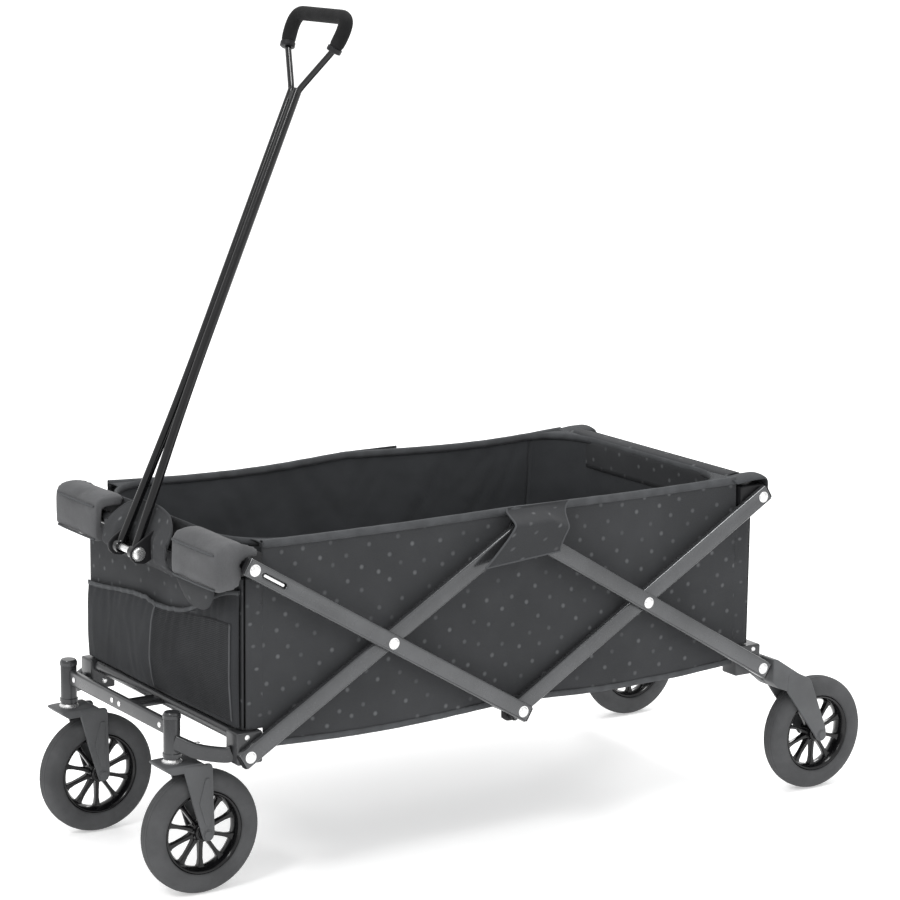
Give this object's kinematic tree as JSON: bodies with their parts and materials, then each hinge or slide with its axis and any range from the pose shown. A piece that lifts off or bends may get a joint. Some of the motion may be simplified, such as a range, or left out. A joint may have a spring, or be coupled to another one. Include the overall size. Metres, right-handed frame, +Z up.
{
  "type": "folding wagon with pull handle",
  "caption": "Folding fabric wagon on four spoked wheels, with crossed side bars and a tall pull handle ending in a loop grip.",
  "frame": {"origin": "on the ground, in the middle of the footprint between the front and rear wheels", "axes": "+Z up, -X towards the pull handle (front), +Y towards the wagon's right side as seen walking ahead of it"},
  "size_m": [1.235, 0.5356, 1.2248],
  "materials": {
    "bar_steel": "satin dark grey paint on flat steel tube",
    "frame_steel": "satin charcoal paint on steel tube",
    "black_steel": "gloss black paint on steel tube",
    "bright_steel": "zinc plated rivet heads",
    "black_plastic": "fine moulded grain, black",
    "rim_plastic": "moulded black spoked rim",
    "grey_plastic": "moulded dark grey fork",
    "tyre_rubber": "soft dark grey rubber",
    "foam_grip": "black foam sleeve",
    "charcoal_cloth": "charcoal woven polyester with a small printed dot",
    "dark_cloth": "plain darker woven polyester",
    "grey_cloth": "padded light grey woven cover"
  },
  "bodies": {
    "front_base": {"front_corner_post_left": "frame_steel", "front_corner_post_right": "frame_steel", "steering_head_left": "frame_steel", "steering_head_right": "frame_steel", "steering_arm_left": "frame_steel", "steering_arm_right": "frame_steel", "front_low_rail": "frame_steel", "front_beam": "frame_steel", "front_link": "frame_steel"},
    "front_inner_bars": {"front_bar_inner_left": "bar_steel", "front_bar_inner_right": "bar_steel", "front_cross_rivet_left": "bright_steel", "front_cross_rivet_right": "bright_steel"},
    "front_outer_bars": {"front_bar_outer_left": "bar_steel", "front_bar_outer_right": "bar_steel"},
    "front_top": {"front_top_fitting_left": "black_plastic", "front_top_fitting_right": "black_plastic", "corner_pad_left": "grey_cloth", "corner_pad_right": "grey_cloth", "side_panel_left": "charcoal_cloth", "side_panel_right": "charcoal_cloth", "front_top_rail": "frame_steel", "handle_bracket": "black_plastic", "handle_pin": "bright_steel", "front_panel": "charcoal_cloth", "front_pocket": "dark_cloth", "bin_floor": "dark_cloth"},
    "middle_feet": {"middle_foot_left": "black_plastic", "middle_foot_right": "black_plastic", "middle_cross_rod": "frame_steel"},
    "rear_inner_bars": {"rear_bar_inner_left": "bar_steel", "rear_bar_inner_right": "bar_steel", "rear_cross_rivet_left": "bright_steel", "rear_cross_rivet_right": "bright_steel"},
    "rear_outer_bars": {"rear_bar_outer_left": "bar_steel", "rear_bar_outer_right": "bar_steel"},
    "middle_hubs": {"middle_hub_left": "black_plastic", "middle_hub_right": "black_plastic"},
    "rear_base": {"rear_corner_post_left": "frame_steel", "rear_corner_post_right": "frame_steel", "rear_fork_left": "grey_plastic", "rear_fork_right": "grey_plastic", "rear_low_rail": "frame_steel"},
    "rear_top": {"rear_top_fitting_left": "black_plastic", "rear_top_fitting_right": "black_plastic", "rear_top_rail": "frame_steel", "rear_panel": "charcoal_cloth"},
    "handle": {"handle_frame": "black_steel", "handle_grip": "foam_grip"},
    "caster_left": {"caster_fork_left": "grey_plastic"},
    "caster_right": {"caster_fork_right": "grey_plastic"},
    "front_left_wheel": {"front_left_tyre": "tyre_rubber", "front_left_rim": "rim_plastic"},
    "front_right_wheel": {"front_right_tyre": "tyre_rubber", "front_right_rim": "rim_plastic"},
    "rear_left_wheel": {"rear_left_tyre": "tyre_rubber", "rear_left_rim": "rim_plastic"},
    "rear_right_wheel": {"rear_right_tyre": "tyre_rubber", "rear_right_rim": "rim_plastic"}
  },
  "joints": [
    {"name": "fold", "type": "hinge", "parent": "front_base", "child": "front_inner_bars", "pos_m": [-0.4965, 0, 0.216], "axis": [0, -1, 0], "range_deg": [0, 44], "deforming": ["side_panel_left", "side_panel_right", "bin_floor"]},
    {"name": "front_cross", "type": "hinge", "parent": "front_inner_bars", "child": "front_outer_bars", "pos_m": [-0.2715, 0, 0.35], "axis": [0, -1, 0], "range_deg": [-88, 0]},
    {"name": "front_top_pin", "type": "hinge", "parent": "front_outer_bars", "child": "front_top", "pos_m": [-0.4965, 0, 0.484], "axis": [0, -1, 0], "range_deg": [0, 44]},
    {"name": "middle_foot_pin", "type": "hinge", "parent": "front_outer_bars", "child": "middle_feet", "pos_m": [-0.0465, 0, 0.216], "axis": [0, -1, 0], "range_deg": [0, 44]},
    {"name": "rear_foot_pin", "type": "hinge", "parent": "front_outer_bars", "child": "rear_inner_bars", "pos_m": [-0.0465, 0, 0.216], "axis": [0, -1, 0], "range_deg": [0, 88]},
    {"name": "rear_cross", "type": "hinge", "parent": "rear_inner_bars", "child": "rear_outer_bars", "pos_m": [0.1785, 0, 0.35], "axis": [0, -1, 0], "range_deg": [-88, 0]},
    {"name": "middle_hub_pin", "type": "hinge", "parent": "front_inner_bars", "child": "middle_hubs", "pos_m": [-0.0465, 0, 0.484], "axis": [0, -1, 0], "range_deg": [-44, 0]},
    {"name": "rear_low_pin", "type": "hinge", "parent": "rear_outer_bars", "child": "rear_base", "pos_m": [0.4035, 0, 0.216], "axis": [0, -1, 0], "range_deg": [0, 44]},
    {"name": "rear_top_pin", "type": "hinge", "parent": "rear_inner_bars", "child": "rear_top", "pos_m": [0.4035, 0, 0.484], "axis": [0, -1, 0], "range_deg": [-44, 0]},
    {"name": "handle_tilt", "type": "hinge", "parent": "front_top", "child": "handle", "pos_m": [-0.5545, 0, 0.467], "axis": [0, -1, 0], "range_deg": [0, 140]},
    {"name": "caster_left_swivel", "type": "hinge", "parent": "front_base", "child": "caster_left", "pos_m": [-0.5705, -0.16, 0.2], "axis": [0, 0, 1], "continuous": true},
    {"name": "caster_right_swivel", "type": "hinge", "parent": "front_base", "child": "caster_right", "pos_m": [-0.5705, 0.16, 0.2], "axis": [0, 0, 1], "continuous": true},
    {"name": "front_left_wheel_spin", "type": "hinge", "parent": "caster_left", "child": "front_left_wheel", "pos_m": [-0.5275, -0.16, 0.09], "axis": [0, 1, 0], "continuous": true},
    {"name": "front_right_wheel_spin", "type": "hinge", "parent": "caster_right", "child": "front_right_wheel", "pos_m": [-0.5275, 0.16, 0.09], "axis": [0, 1, 0], "continuous": true},
    {"name": "rear_left_wheel_spin", "type": "hinge", "parent": "rear_base", "child": "rear_left_wheel", "pos_m": [0.5275, -0.239, 0.09], "axis": [0, 1, 0], "continuous": true},
    {"name": "rear_right_wheel_spin", "type": "hinge", "parent": "rear_base", "child": "rear_right_wheel", "pos_m": [0.5275, 0.239, 0.09], "axis": [0, 1, 0], "continuous": true}
  ],
  "couplings": [
    {"joint": "front_cross", "follows": "fold", "ratio": -2},
    {"joint": "front_top_pin", "follows": "fold", "ratio": 1},
    {"joint": "middle_foot_pin", "follows": "fold", "ratio": 1},
    {"joint": "rear_foot_pin", "follows": "fold", "ratio": 2},
    {"joint": "rear_cross", "follows": "fold", "ratio": -2},
    {"joint": "middle_hub_pin", "follows": "fold", "ratio": -1},
    {"joint": "rear_low_pin", "follows": "fold", "ratio": 1},
    {"joint": "rear_top_pin", "follows": "fold", "ratio": -1}
  ]
}
